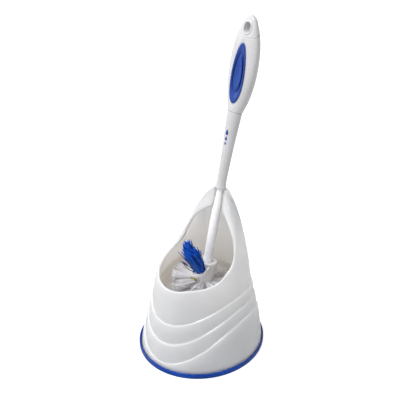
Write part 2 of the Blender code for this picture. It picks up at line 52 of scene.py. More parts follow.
WALL = 2.2
STEP_PROUD = 1.35
STEP_CURVES = ((10.8, 171.6, -147.5), (37.1, 129.8, -110.3), (62.5, 92.2, -77.4))
STEP_HALF_HEIGHT = 0.6
FOOT_Z = 2.7
FOOT_HALF_WIDTH, FOOT_FRONT, FOOT_BACK = 66.7, 71.6, 72.0
HOOD_Z = (105.6, 120.0, 135.0, 150.0, 165.0, 178.0, 190.0, 202.0, 208.0)
HOOD_HALF_WIDTH = (51.0, 46.2, 41.2, 37.0, 31.8, 26.0, 18.8, 8.4, 4.0)
HOOD_CENTRE = (12.3, 19.0, 23.5, 25.6, 27.3, 28.7, 29.2, 27.8, 27.0)
HOOD_FRONT = (71.0, 67.0, 63.0, 60.0, 58.0, 56.0, 54.0, 52.0, 51.0)
HOOD_BACK_Y = (56.1, 40.4)
HOOD_BACK_Z = (105.6, 202.0)
FOOT_LEVELS = (-35.0, 0.0, 35.0, 70.0)
WINDOW_EDGE = (
    (-90.0, 96.8), (-58.7, 107.0), (-46.0, 110.6), (-31.0, 111.9), (-16.1, 115.2), (-6.9, 119.1),
    (1.1, 124.7), (7.4, 132.1), (12.2, 140.7), (16.2, 150.0),
)
ARCH_EDGE = (
    (5.2, 0.0), (5.2, -2.0), (6.2, -16.5), (8.0, -25.6), (10.6, -27.6), (16.1, -32.0),
    (21.8, -37.7), (28.2, -45.3), (32.6, -53.1), (35.6, -60.7), (38.2, -68.0), (39.6, -78.0),
)
FOOT_PROUD = len(STEP_CURVES) * STEP_PROUD
SHOULDER = np.array((0.0, 31.35, 201.4))
LEAN = math.radians(13.67)
PLATE_FRONT = 2.5
PLATE_BACK = 0.3
SEAT_HEIGHT = -0.3
CHANNEL_RADIUS = 5.2


# ---------------- shared maths


def smooth_through(points, count):
    """Even samples of a Catmull-Rom curve through points."""
    known = np.array(points, float)
    padded = np.vstack((2 * known[0] - known[1], known, 2 * known[-1] - known[-2]))
    samples = []
    for t in np.linspace(0.0, len(points) - 1.0, count):
        i = min(int(t), len(points) - 2)
        u = t - i
        p0, p1, p2, p3 = padded[i : i + 4]
        bend = (2 * p0 - 5 * p1 + 4 * p2 - p3) * u**2 + (3 * p1 - p0 - 3 * p2 + p3) * u**3
        samples.append(0.5 * (2 * p1 + (p2 - p0) * u + bend))
    return np.array(samples)


def smoothstep(low, high, value):
    t = np.clip((value - low) / (high - low), 0.0, 1.0)
    return t * t * (3 - 2 * t)


def unit(vectors):
    return vectors / np.linalg.norm(vectors, axis=-1, keepdims=True)


def from_brush(points):
    """Points of the brush's frame in the caddy's frame."""
    p = np.asarray(points, float)
    y = p[..., 1] * math.cos(LEAN) + p[..., 2] * math.sin(LEAN)
    z = -p[..., 1] * math.sin(LEAN) + p[..., 2] * math.cos(LEAN)
    return np.stack((p[..., 0], y, z), axis=-1) + SHOULDER


def brush_height(y, z):
    """Height along the brush axis of a point of the caddy's frame."""
    return (y - SHOULDER[1]) * math.sin(LEAN) + (z - SHOULDER[2]) * math.cos(LEAN)


def plane_y(z, forward):
    """Where a plane parallel to the brush axis, so far in front of it, stands at a height."""
    return SHOULDER[1] + ((z - SHOULDER[2]) * math.sin(LEAN) - forward) / math.cos(LEAN)


def resampled(path, shares):
    """Points of a polyline at shares of its length."""
    steps = np.linalg.norm(np.diff(path, axis=0), axis=1)
    along = np.concatenate(((0.0,), np.cumsum(steps)))
    at = np.asarray(shares) * along[-1]
    return np.stack([np.interp(at, along, path[:, i]) for i in range(path.shape[1])], -1)


def rounded(corners, radius, steps=5):
    """Polyline whose inner corners are rounded off with arcs of about the radius given."""
    corners = [np.array(c, float) for c in corners]
    path = [corners[0]]
    for before, corner, after in zip(corners, corners[1:], corners[2:]):
        into, out = before - corner, after - corner
        reach = min(radius, 0.45 * np.linalg.norm(into), 0.45 * np.linalg.norm(out))
        start, end = corner + unit(into) * reach, corner + unit(out) * reach
        for t in np.linspace(0, 1, steps):
            path.append((1 - t) ** 2 * start + 2 * t * (1 - t) * corner + t * t * end)
    path.append(corners[-1])
    return np.array(path)


# ---------------- meshes


def signed_volume(points, triangles):
    a, b, c = (points[triangles[:, i]] for i in range(3))
    return np.einsum("ij,ij->i", a, np.cross(b, c)).sum() / 6


def mesh_of(name, points, faces):
    """Mesh in metres from points in millimetres, with its faces outwards."""
    points = np.asarray(points, float)
    triangles = []
    for face in faces:
        for i in range(1, len(face) - 1):
            triangles.append((face[0], face[i], face[i + 1]))
    if signed_volume(points, np.array(triangles)) < 0:
        faces = [tuple(reversed(face)) for face in faces]
    made = bpy.data.meshes.new(name)
    made.from_pydata((points * MM).tolist(), [], [tuple(int(i) for i in face) for face in faces])
    made.shade_smooth()
    made.update()
    return made


def grid_faces(rows, columns, close_rows=False, first=0):
    """Quads of a grid whose columns close round, and whose rows may too."""
    faces = []
    for r in range(rows if close_rows else rows - 1):
        row, above = first + r * columns, first + (r + 1) % rows * columns
        for c in range(columns):
            beside = (c + 1) % columns
            faces.append((row + c, row + beside, above + beside, above + c))
    return faces


def loft(rings):
    """Points and faces of a closed body through rings, each end closed by a fan."""
    rings = np.asarray(rings, float)
    rows, columns = rings.shape[:2]
    points = [*rings.reshape(-1, 3), rings[0].mean(axis=0), rings[-1].mean(axis=0)]
    faces = grid_faces(rows, columns)
    for ring, middle in ((0, rows * columns), (rows - 1, rows * columns + 1)):
        for c in range(columns):
            pair = (ring * columns + c, ring * columns + (c + 1) % columns)
            faces.append((*(pair if ring else pair[::-1]), middle))
    return np.array(points), faces


def closed_round(rings):
    """Points and faces of a body whose last ring joins its first."""
    rings = np.asarray(rings, float)
    return rings.reshape(-1, 3), grid_faces(*rings.shape[:2], close_rows=True)


def lathe(profile, sides):
    """Rings round the Z axis from (radius, height) pairs."""
    turns = np.linspace(0, math.tau, sides, endpoint=False)
    return [np.stack((r * np.sin(turns), -r * np.cos(turns), np.full(sides, h)), -1) for r, h in profile]


def add_piece(name, mesh, finish, body, nodes=()):
    """Links a piece, gives it its finish, and lets it ride on a body in place of CAD nodes."""
    made = bpy.data.objects.new(name, mesh)
    bpy.context.scene.collection.objects.link(made)
    mesh.materials.append(finish)
    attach(made, body)
    if nodes:
        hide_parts(*nodes)


def add_brush_piece(name, shape, finish, nodes=()):
    """Adds a piece whose shape, its points and faces, is in the brush's frame."""
    points, faces = shape
    add_piece(name, mesh_of(name, from_brush(points), faces), finish, "brush", nodes)


# ---------------- materials

INSIDE_SHADE_HEIGHTS = (0.16, 0.085)  # metres up, where the painted shade on the inner face starts to darken it and where it is full


def map_range(nodes, links, source, low, high, first, second):
    made = nodes.new("ShaderNodeMapRange")
    for socket, value in (("From Min", low), ("From Max", high), ("To Min", first), ("To Max", second)):
        made.inputs[socket].default_value = value
    links.new(source, made.inputs["Value"])
    return made.outputs["Result"]


class Finish:
    """A procedural material around one Principled shader."""

    def __init__(self, name, colour, roughness, **sockets):
        self.material = bpy.data.materials.new(name)
        self.material.use_nodes = True
        self.nodes = self.material.node_tree.nodes
        self.links = self.material.node_tree.links
        self.shader = self.nodes["Principled BSDF"]
        self.set("Base Color", (*colour, 1.0))
        self.set("Roughness", roughness)
        for socket, value in sockets.items():
            self.set(socket.replace("_", " "), value)
        self.place = self.nodes.new("ShaderNodeTexCoord").outputs["Object"]

    def set(self, socket, value):
        self.shader.inputs[socket].default_value = value

    def noise(self, scale, detail=3.0):
        """Noise with features of about 1/scale metres."""
        texture = self.nodes.new("ShaderNodeTexNoise")
        texture.inputs["Scale"].default_value = scale
        texture.inputs["Detail"].default_value = detail
        self.links.new(self.place, texture.inputs["Vector"])
        return texture.outputs["Fac"]

    def ramp(self, source, low, high, first, second):
        return map_range(self.nodes, self.links, source, low, high, first, second)

    def tint(self, source, first, second, low=0.35, high=0.65):
        """Colour that goes from the first to the second with the source."""
        made = self.nodes.new("ShaderNodeValToRGB")
        made.color_ramp.elements[0].position = low
        made.color_ramp.elements[1].position = high
        made.color_ramp.elements[0].color = (*first, 1.0)
        made.color_ramp.elements[1].color = (*second, 1.0)
        self.links.new(source, made.inputs["Fac"])
        self.links.new(made.outputs["Color"], self.shader.inputs["Base Color"])

    def roughen(self, source, first, second):
        self.links.new(self.ramp(source, 0.3, 0.7, first, second), self.shader.inputs["Roughness"])

    def bump(self, source, distance, strength=1.0):
        made = self.nodes.new("ShaderNodeBump")
        made.inputs["Strength"].default_value = strength
        made.inputs["Distance"].default_value = distance
        self.links.new(source, made.inputs["Height"])
        self.links.new(made.outputs["Normal"], self.shader.inputs["Normal"])


def moulded_finish(name, dark, light, roughness, **sockets):
    """Glossy moulded plastic: cloudy tint, uneven polish and a faint orange peel."""
    finish = Finish(name, light, roughness, **sockets)
    finish.tint(finish.noise(38.0), dark, light)
    finish.roughen(finish.noise(160.0), roughness - 0.03, roughness + 0.05)
    finish.bump(finish.noise(1400.0, 2.0), 0.00004, 0.35)
    return finish


def moulded_plastic(*looks, **sockets):
    return moulded_finish(*looks, **sockets).material


def shell_plastic(name, dark, light, painted_shade, roughness, **sockets):
    """Milky moulded plastic, with painted warm shade deep inside the shell, darker towards the bottom."""
    finish = moulded_finish(name, dark, light, roughness, **sockets)
    outer = finish.shader.inputs["Base Color"].links[0].from_socket
    height = finish.nodes.new("ShaderNodeSeparateXYZ")
    finish.links.new(finish.place, height.inputs["Vector"])
    inside = finish.nodes.new("ShaderNodeAttribute")
    inside.attribute_name = "inside"
    # share of painted shade: the inner face only, stronger towards the bottom
    share = finish.nodes.new("ShaderNodeMath")
    share.operation = "MULTIPLY"
    finish.links.new(finish.ramp(height.outputs["Z"], *INSIDE_SHADE_HEIGHTS, 0.0, 1.0), share.inputs[0])
    finish.links.new(inside.outputs["Fac"], share.inputs[1])
    # mixes the painted warm shade into the inner face's colour
    mixed = finish.nodes.new("ShaderNodeMix")
    mixed.data_type = "RGBA"
    finish.links.new(share.outputs["Value"], mixed.inputs["Factor"])
    finish.links.new(outer, mixed.inputs["A"])
    mixed.inputs["B"].default_value = (*painted_shade, 1.0)
    finish.links.new(mixed.outputs["Result"], finish.shader.inputs["Base Color"])
    return finish.material


def soft_grip(name, painted_shade, plain, roughness, **sockets):
    """Moulded rubber with painted shade: its grooves are darker than its swells, by ambient occlusion."""
    finish = Finish(name, plain, roughness, **sockets)
    # ambient occlusion paints shade into the grooves
    groove_shade = finish.nodes.new("ShaderNodeAmbientOcclusion")
    groove_shade.inputs["Distance"].default_value = 0.004
    cloud = finish.ramp(finish.noise(60.0), 0.3, 0.7, -0.05, 0.05)
    mixed = finish.nodes.new("ShaderNodeMath")
    finish.links.new(groove_shade.outputs["AO"], mixed.inputs[0])
    finish.links.new(cloud, mixed.inputs[1])
    finish.tint(mixed.outputs["Value"], painted_shade, plain, 0.55, 0.97)
    finish.roughen(finish.noise(220.0), roughness - 0.04, roughness + 0.06)
    finish.bump(finish.noise(1800.0, 2.0), 0.00004, 0.3)
    return finish.material


def bristle_plastic(name, dark, light, roughness, **sockets):
    """Extruded filament: tint that differs from bristle to bristle, with fine lines along it."""
    finish = Finish(name, light, roughness, **sockets)
    finish.tint(finish.nodes.new("ShaderNodeNewGeometry").outputs["Random Per Island"], dark, light, 0.1, 0.9)
    finish.roughen(finish.noise(900.0), roughness - 0.06, roughness + 0.08)
    finish.bump(finish.noise(3200.0, 1.0), 0.00003, 0.4)
    return finish.material


def brass_wire(name):
    finish = Finish(name, (0.5, 0.43, 0.13), 0.35, Metallic=0.9)
    finish.tint(finish.noise(700.0), (0.13, 0.12, 0.03), (0.42, 0.38, 0.12))
    finish.roughen(finish.noise(1500.0), 0.28, 0.5)
    finish.bump(finish.noise(2600.0), 0.00003, 0.5)
    return finish.material


# ---------------- caddy shell


HALF_RIBS = 120
LEDGE_ROWS = 8
ZONE_ROWS = 7
HOOD_ROWS = 44
CREST_ROWS = 21
TURN_ROWS = 6
RETURN_ROWS = 8
INNER_HOOD_ROWS = 33
INNER_FOOT_ROWS = 39
INNER_ROWS = INNER_HOOD_ROWS + INNER_FOOT_ROWS + 1
LIP_THICKNESS = 2.7
LIP_SETBACK = 1.25
LIP_INNER_DROP = 3.5
ROLL_MOST = 3.6
ROLL_OF_WIDTH = (0.28, 0.45)  # share of the flange's width, and what is added to it
FREE_EDGE_SETBACK = (1.0, 3.6)
SLOT_RUN = 2.4
SLOT_EDGE_DROP = 1.2
UNDERSIDE = 2.0
CHANNEL_DEPTH = 9.0
INNER_STEP_HEIGHT = 17.0
FOOT_EDGE = 0.6
FOOT_INNER_EDGE = 0.5
HOOD_BLEND = (-88.0, -76.0)  # along the brush axis, where the lip turns into the hood's flange
PEAK_BLEND = (-1.5, 1.5)  # along the rim, where the flange turns into the slot for the shaft
SEAM_BLEND = 12.0  # height over which the window's edge runs into the flat front of the hood
CORNER_CROWDING = 2.2
CORNER_RUN = 25
SOFTENING = (1, 3, 6, 8, 9, 8, 6, 3, 1)  # weights that even out the rim's directions


def section_curve():
    rows = []
    for z in FOOT_LEVELS:
        share = z / HOOD_Z[0]
        half_width = FOOT_HALF_WIDTH + (HOOD_HALF_WIDTH[0] - FOOT_HALF_WIDTH) * share
        centre = HOOD_CENTRE[0] * share
        front = FOOT_FRONT + (HOOD_FRONT[0] - FOOT_FRONT) * share
        rows.append((z, half_width, centre, front, FOOT_BACK + (HOOD_BACK_Y[0] - FOOT_BACK) * share))
    for z, half_width, centre, front in zip(HOOD_Z, HOOD_HALF_WIDTH, HOOD_CENTRE, HOOD_FRONT):
        rows.append((z, half_width, centre, front, np.interp(z, HOOD_BACK_Z, HOOD_BACK_Y)))
    return smooth_through(rows, 700)


SECTION = section_curve()


def section(z):
    """Half width, centre, front and back reach of the shell's outer face, above all steps."""
    half_width, centre, front, back_y = (np.interp(z, SECTION[:, 0], SECTION[:, i]) for i in (1, 2, 3, 4))
    return half_width, centre, front, back_y - centre


def shell_point(angle, z, offset=0.0):
    """Point on the shell's face, offset outwards; angle 0 is the front and pi is the back."""
    half_width, centre, front, back = section(z)
    reach = np.where(np.cos(angle) > 0, front, back)
    x = (half_width + offset) * np.sin(angle)
    y = centre - (reach + offset) * np.cos(angle)
    return np.stack((x, y, z + 0.0 * x), -1)


def angle_at(y, z, offset=0.0):
    """Angle of the shell's face where it passes through a depth at a height."""
    _, centre, front, back = section(z)
    ahead = centre - y
    reach = np.where(ahead > 0, front, back) + offset
    return np.arccos(np.clip(ahead / reach, -1.0, 1.0))


def step_height(curve, angle):
    low, rise, fall = curve
    share = (1 - np.cos(angle)) / 2
    return low + rise * share + fall * share**2


def shell_normal(angle, z):
    small = 1e-3
    across = shell_point(angle + small, z) - shell_point(angle - small, z)
    up = shell_point(angle, z + 0.05) - shell_point(angle, z - 0.05)
    return unit(np.cross(across, up))


def rim_curve():
    """Edge of the shell's outer face from the lip's middle to the back of the peak, as (angle, height)."""
    edge = smooth_through(WINDOW_EDGE, 900)
    middle = edge[:, 0] > section(edge[:, 1])[1] - section(edge[:, 1])[2]
    edge = edge[middle]
    join = edge[-1]
    corner_z = SHOULDER[2] + SEAT_HEIGHT * math.cos(LEAN) + PLATE_FRONT * math.sin(LEAN)
    climb = np.linspace(join[1], corner_z, 400)[1:]
    start_forward = (SHOULDER[1] - join[0]) * math.cos(LEAN) + (join[1] - SHOULDER[2]) * math.sin(LEAN)
    flat = smoothstep(join[1], join[1] + SEAM_BLEND, climb)
    forward = PLATE_FRONT + (start_forward - PLATE_FRONT) * (1 - flat)
    edge = np.vstack((edge, np.stack((plane_y(climb, forward), climb), -1)))
    angles = angle_at(edge[:, 0], edge[:, 1])
    angles[0] = 0.0
    around = np.linspace(angles[-1], math.pi, 200)[1:]
    z = np.full(len(around), corner_z)
    for _ in range(12):
        y = shell_point(around, z)[:, 1]
        z = SHOULDER[2] + (SEAT_HEIGHT - (y - SHOULDER[1]) * math.sin(LEAN)) / math.cos(LEAN)
    return np.concatenate((angles, around)), np.concatenate((edge[:, 1], z)), len(angles)


def rim_frames():
    """For each rib: rim angle, height and point, direction off the sheet, and way past the corner."""
    angles, heights, corner = rim_curve()
    points = shell_point(angles, heights)
    steps = np.linalg.norm(np.diff(points, axis=0), axis=1)
    crowding = np.where(np.arange(len(steps)) >= corner - CORNER_RUN, CORNER_CROWDING, 1.0)
    measure = np.concatenate(((0.0,), np.cumsum(steps * crowding)))
    shares = np.linspace(0, measure[-1], HALF_RIBS + 1)
    angle = np.interp(shares, measure, angles)
    height = np.interp(shares, measure, heights)
    length = np.interp(shares, measure, np.concatenate(((0.0,), np.cumsum(steps))))
    corner_length = np.cumsum(steps)[corner - 2]
    point = shell_point(angle, height)
    mirrored = np.vstack((point[1:4][::-1] * (-1, 1, 1), point, point[-4:-1][::-1] * (-1, 1, 1)))
    tangent = unit(mirrored[4:-2] - mirrored[2:-4])
    off = unit(np.cross(shell_normal(angle, height), tangent))
    off = np.where((off[:, 2:3] - off[:, 1:2]) > 0, off, -off)
    wide = np.vstack((off[1:5][::-1] * (-1, 1, 1), off, off[-5:-1][::-1] * (-1, 1, 1)))
    kernel = np.array(SOFTENING, float)
    off = unit(sum(w * wide[i : i + len(off)] for i, w in enumerate(kernel / kernel.sum())))
    return angle, height, point, off, length - corner_length


def free_edge(height, past_corner):
    """Free edge of the rolled flange for each rib, in the brush's frame."""
    arch = resampled(np.array(ARCH_EDGE), np.linspace(0, 1, 400))
    order = np.argsort(arch[:, 1])
    x = np.interp(height, arch[order, 1], arch[order, 0])
    width = np.clip((x - CHANNEL_RADIUS) / 20.0, 0.0, 1.0)
    forward = PLATE_FRONT - FREE_EDGE_SETBACK[0] - (FREE_EDGE_SETBACK[1] - FREE_EDGE_SETBACK[0]) * (1 - width)
    edge = np.stack((x, -forward, height), -1)
    past = past_corner > 0
    share = np.clip(past_corner / past_corner.max(), 0, 1)
    ring = CHANNEL_RADIUS * math.pi / 2
    travelled = share * (SLOT_RUN + ring)
    turn = np.clip((travelled - SLOT_RUN) / CHANNEL_RADIUS, 0, math.pi / 2)
    ahead = forward[~past][-1] * (1 - travelled / SLOT_RUN)
    around = np.stack((
        CHANNEL_RADIUS * np.cos(turn),
        np.where(travelled < SLOT_RUN, -ahead, CHANNEL_RADIUS * np.sin(turn)),
        np.full(len(turn), SEAT_HEIGHT - SLOT_EDGE_DROP),
    ), -1)
    return np.where(past[:, None], around, edge)


def bezier(points, shares):
    """Cubic Bezier samples; points is four arrays of one point per rib."""
    t = np.asarray(shares)[:, None, None]
    p0, p1, p2, p3 = points
    return (1 - t) ** 3 * p0 + 3 * (1 - t) ** 2 * t * p1 + 3 * (1 - t) * t**2 * p2 + t**3 * p3


def shares_of(count):
    """Even shares up to 1, without the 0 that the row before already stands at."""
    return np.linspace(0, 1, count + 1)[1:]


def blend(first, second, share):
    return first * (1 - share) + second * share


def ledge_rows(lower):
    """Outer rows from the foot up to the top ledge, and the height they end at."""
    inner = FOOT_PROUD - WALL + FOOT_EDGE
    corners = ((inner, FOOT_Z), (FOOT_PROUD, FOOT_Z), (FOOT_PROUD, FOOT_Z + 4))
    foot = rounded(corners, FOOT_EDGE, 4)[1:-1]
    rows = [shell_point(lower, z, offset) for offset, z in foot]
    below = np.full(HALF_RIBS + 1, FOOT_Z + FOOT_EDGE)
    for i, curve in enumerate(STEP_CURVES):
        proud = (len(STEP_CURVES) - i) * STEP_PROUD
        ledge = step_height(curve, lower)
        for share in shares_of(ZONE_ROWS):
            rows.append(shell_point(lower, below + (ledge - STEP_HALF_HEIGHT - below) * share, proud))
        for share in shares_of(LEDGE_ROWS):
            drop = STEP_PROUD * share * share * (3 - 2 * share)
            rows.append(shell_point(lower, ledge + STEP_HALF_HEIGHT * (2 * share - 1), proud - drop))
        below = ledge + STEP_HALF_HEIGHT
    return rows, below


def inner_wall_rows(lower, inner_angle, inner_z):
    """Rows down the inner face, from under the rim to the foot."""
    ledges = [step_height(curve, lower) for curve in STEP_CURVES]
    top = ledges[-1] + STEP_HALF_HEIGHT
    rows = []
    for share in shares_of(INNER_HOOD_ROWS):
        angle = inner_angle + (lower - inner_angle) * share
        rows.append(shell_point(angle, inner_z + (top - inner_z) * share, -WALL))
    for share in shares_of(INNER_FOOT_ROWS):
        z = top + (FOOT_Z + FOOT_INNER_EDGE - top) * share
        offset = -WALL
        for ledge in ledges:
            offset = offset + STEP_PROUD * (1 - smoothstep(-INNER_STEP_HEIGHT, STEP_HALF_HEIGHT, z - ledge))
        rows.append(shell_point(lower, z, offset))
    rows.append(shell_point(lower, np.full(HALF_RIBS + 1, FOOT_Z), FOOT_PROUD - WALL + FOOT_INNER_EDGE))
    return rows


def shell_rows():
    """Rows of the right half of the shell from the foot round, each of one point per rib."""
    lower = np.linspace(0, math.pi, HALF_RIBS + 1)
    rows, below = ledge_rows(lower)

    angle, height, rim, off, past = rim_frames()
    along_axis = brush_height(rim[:, 1], rim[:, 2])
    hooded = smoothstep(*HOOD_BLEND, along_axis)
    over_peak = smoothstep(*PEAK_BLEND, past)
    hooded_rib, over_peak_rib = hooded[:, None], over_peak[:, None]
    edge_hood = from_brush(free_edge(along_axis, past))
    normal = shell_normal(angle, height)
    flange = edge_hood - rim
    width = np.linalg.norm(flange - np.sum(flange * off, -1, keepdims=True) * off, axis=-1)
    width = np.where(hooded > 0, width, LIP_THICKNESS)
    roll = np.minimum(ROLL_MOST, ROLL_OF_WIDTH[0] * width + ROLL_OF_WIDTH[1])
    roll = blend(LIP_SETBACK, roll, hooded)
    setback = rim - off * roll[:, None]
    setback_angle = angle_at(setback[:, 1], setback[:, 2])
    setback_z = setback[:, 2]
    start = shell_point(setback_angle, setback_z)
    for share in shares_of(HOOD_ROWS):
        turn = lower + (setback_angle - lower) * share
        rows.append(shell_point(turn, below + (setback_z - below) * share))

    end = blend(start - normal * LIP_THICKNESS, edge_hood, hooded_rib)
    reach = (roll / 0.75)[:, None]
    crest = (start, start + off * reach, end + off * reach * (1 - 0.35 * hooded_rib), end)
    rows += list(bezier(crest, shares_of(CREST_ROWS)))

    forward = from_brush((0.0, -1.0, 0.0)) - SHOULDER
    upward = from_brush((0.0, 0.0, 1.0)) - SHOULDER
    step_back = blend(-forward * UNDERSIDE, -upward * CHANNEL_DEPTH, over_peak_rib)
    step_back = blend(-off, step_back, hooded_rib)
    under = end + step_back
    inner_z_lip = setback_z - LIP_INNER_DROP
    inner_angle_hood = angle_at(plane_y(height, PLATE_BACK - 0.2), height, -WALL)
    inner_angle = blend(setback_angle, inner_angle_hood, hooded)
    inner_angle = blend(inner_angle, setback_angle, over_peak)
    inner_z = blend(inner_z_lip, height, hooded)
    inner_z = blend(inner_z, height - CHANNEL_DEPTH - 1.5, over_peak)
    inner_angle = np.minimum.accumulate(inner_angle[::-1])[::-1]
    inner = shell_point(inner_angle, inner_z, -WALL)
    turning = (end, end + step_back * 0.5, under - (end - inner) * 0.02, under)
    rows += list(bezier(turning, shares_of(TURN_ROWS)))
    for share in shares_of(RETURN_ROWS):
        rows.append(under + (inner - under) * share)
    return np.array(rows + inner_wall_rows(lower, inner_angle, inner_z))


def make_shell(finish):
    right = shell_rows()
    left = right[:, 1:-1][:, ::-1] * (-1, 1, 1)
    whole = np.concatenate((right, left), axis=1)
    rows, columns = whole.shape[:2]
    mesh = mesh_of("caddy_shell_fine", *closed_round(whole))
    # marks the inner rows, where shell_plastic paints warm shade that darkens towards the bottom
    inside = np.repeat(np.arange(rows) >= rows - INNER_ROWS, columns).astype(float)
    mesh.attributes.new("inside", "FLOAT", "POINT").data.foreach_set("value", inside)
    add_piece("caddy_shell_fine", mesh, finish, "caddy", ["caddy_shell"])


# ---------------- tray

TRAY_FLOOR = 2.4
TRAY_SIDES = 220
TRAY_TAPER = 0.3  # share of the rim's width that is lost towards the back
TRAY_TAPER_TURN = (0.9, 1.8)
TRAY_PROFILE = (
    (-30.0, 0.0), (1.7, 0.0), (2.5, 1.2), (2.4, 6.6), (0.45, 6.6), (0.4, TRAY_FLOOR),
    (-3.3, TRAY_FLOOR), (-4.7, 9.6), (-6.5, 9.6), (-6.2, TRAY_FLOOR), (-9.0, TRAY_FLOOR - 0.4),
    (-30.0, TRAY_FLOOR - 0.4),
)


def make_tray(finish):
    half_width, centre, front, back = section(FOOT_Z)
    turns = np.linspace(0, math.tau, TRAY_SIDES, endpoint=False)
    around = np.minimum(turns, math.tau - turns)
    reach = np.where(np.cos(turns) > 0, front, back)
    rings = []
    for offset, z in rounded(TRAY_PROFILE, 0.9, 6):
        out = FOOT_PROUD + offset * (1 - TRAY_TAPER * smoothstep(*TRAY_TAPER_TURN, around) * (offset > 0))
        x = (half_width + out) * np.sin(turns)
        y = centre - (reach + out) * np.cos(turns)
        rings.append(np.stack((x, y, np.full(TRAY_SIDES, z)), -1))
    mesh = mesh_of("base_tray_fine", *loft(rings))
    add_piece("base_tray_fine", mesh, finish, "caddy", ["base_tray"])


# ---------------- rod, hub, carrier

ROD_PROFILE = ((3.25, -0.3), (4.4, -20.0), (5.2, -45.0), (4.95, -70.0), (4.65, -94.4))
ROD_TENON = (2.8, 4.0)
ROD_FOOT = ((4.65, -97.0), (3.6, -98.0), (3.6, -116.0))
HUB_PROFILE = (
    (3.7, -94.7), (9.8, -94.7), (11.0, -99.0), (11.0, -150.0), (9.6, -154.5), (5.0, -157.5), (0.4, -157.5)
)
HUB_SOCKET = (3.7, -96.0)
HUB_CAP_PROFILE = ((4.9, -93.2), (8.6, -93.2), (9.6, -91.6), (11.6, -91.6), (11.6, -94.6), (4.9, -94.6))
CARRIER_TILT = math.radians(40.0)
CARRIER_CENTRE = np.array((0.0, -11.6, -99.6))
CARRIER_RADIUS = 11.0
CARRIER_SCALLOP = 0.7
CARRIER_LOBES = 6
CUP_PROFILE = (
    (0.25, -6.6), (0.78, -6.0), (1.0, -4.0), (1.0, 0.8), (0.86, 0.8), (0.82, -0.9), (0.2, -0.9)
)
STAPLE_CENTRE = (-3.6, -14.6, -114.7)
STAPLE_HALF_LENGTH = 4.2
STAPLE_RADIUS = 1.5
STAPLE_BOW = 0.35


def make_rod(finish):
    side = smooth_through(ROD_PROFILE, 60)
    rod = loft(lathe([ROD_TENON, *side, *ROD_FOOT], 64))
    add_brush_piece("brush_rod_fine", rod, finish, ["brush_rod"])


def make_hub(finish):
    core = loft(lathe([HUB_SOCKET, *rounded(HUB_PROFILE, 1.6, 7)], 96))
    add_brush_piece("brush_hub_fine", core, finish, ["brush_hub"])
    disc = closed_round(lathe(rounded(HUB_CAP_PROFILE, 0.7, 5), 96))
    add_brush_piece("hub_cap_fine", disc, finish, ["hub_cap"])


def carrier_place(points):
    """Points of the carrier's tilted frame in the brush's frame."""
    p = np.asarray(points, float)
    y = p[..., 1] * math.cos(CARRIER_TILT) - p[..., 2] * math.sin(CARRIER_TILT)
    z = p[..., 1] * math.sin(CARRIER_TILT) + p[..., 2] * math.cos(CARRIER_TILT)
    return np.stack((p[..., 0], y, z), -1) + CARRIER_CENTRE


def make_carrier(finish):
    turns = np.linspace(0, math.tau, 144, endpoint=False)
    wave = CARRIER_SCALLOP * np.cos(CARRIER_LOBES * turns)
    rings = []
    for scale, z in rounded(CUP_PROFILE, 0.35, 6):
        radius = (CARRIER_RADIUS + wave) * scale
        ring = np.stack((radius * np.sin(turns), -radius * np.cos(turns), np.full(len(turns), z)), -1)
        rings.append(carrier_place(ring))
    add_brush_piece("blue_tuft_cup", loft(rings), finish, ["blue_tuft_carrier"])


def make_staple(finish):
    thick, end = STAPLE_RADIUS, STAPLE_HALF_LENGTH
    turns = np.linspace(0, math.tau, 20, endpoint=False)
    rings = []
    for radius, x in rounded(((0.0, -end), (thick, -end), (thick, end), (0.0, end)), 0.45, 5):
        bow = STAPLE_BOW * (1 - (x / end) ** 2)
        y = radius * np.cos(turns) - bow
        z = 0.85 * radius * np.sin(turns) + 0.05 * x
        rings.append(np.stack((np.full(len(turns), x), y, z), -1) + STAPLE_CENTRE)
    add_brush_piece("anchor_staple_fine", loft(rings), finish, ["anchor_staple"])


# ---------------- bristles

TUFT_ROWS = (  # height, number, first turn, tilt, tip radius
    (-117.5, 10, -8.0, 4.0, 37.4),
    (-126.0, 10, 10.0, -2.0, 37.2),
    (-136.5, 10, -8.0, -7.0, 35.5),
    (-147.0, 8, 12.0, -24.0, 31.0),
)
TUFT_SEAT_RADIUS = 8.6
TUFT_BRISTLES = 58
END_TUFT = np.array(((0.0, 0.0, -153.0), (0.0, 0.0, -174.0)))
END_TUFT_BRISTLES = 70
GOLDEN_TURN = 2.39996
CURL = 0.16
CURL_TURNS = 9.0
BLUNT_TIP = 0.72
BUNDLE_ANGLES = (-75.0, -25.0, 25.0, 75.0)
BUNDLE_ARC = 5.6
BUNDLE_ROOT = 3.3
BUNDLE_LENGTH = 39.5
BUNDLE_LEAN = 35.0
BUNDLE_LEAN_BY_PLACE = (0.3, -0.6)  # degrees for each mm to the right, and for each mm back
BUNDLE_SWING = -1.5
BUNDLE_SWING_BY_X = 0.15
BUNDLE_SHORTENING = 0.22
BUNDLE_UNEVEN = (3.2, 2.6, 1.9)  # spread of lean and of swing in degrees, and of length in mm
BUNDLE_BRISTLES = 76
STRAY_SHARE = 0.07
STRAY_LEAN = 13.0
STRAY_SHORTENING = 9.0


def across(direction):
    """Two directions square to one, the first of them level in the brush's frame."""
    level = np.cross(direction, (0.0, 0.0, 1.0))
    if np.linalg.norm(level) < 1e-6:
        level = np.array((1.0, 0.0, 0.0))
    level = unit(level)
    return level, unit(np.cross(level, direction))


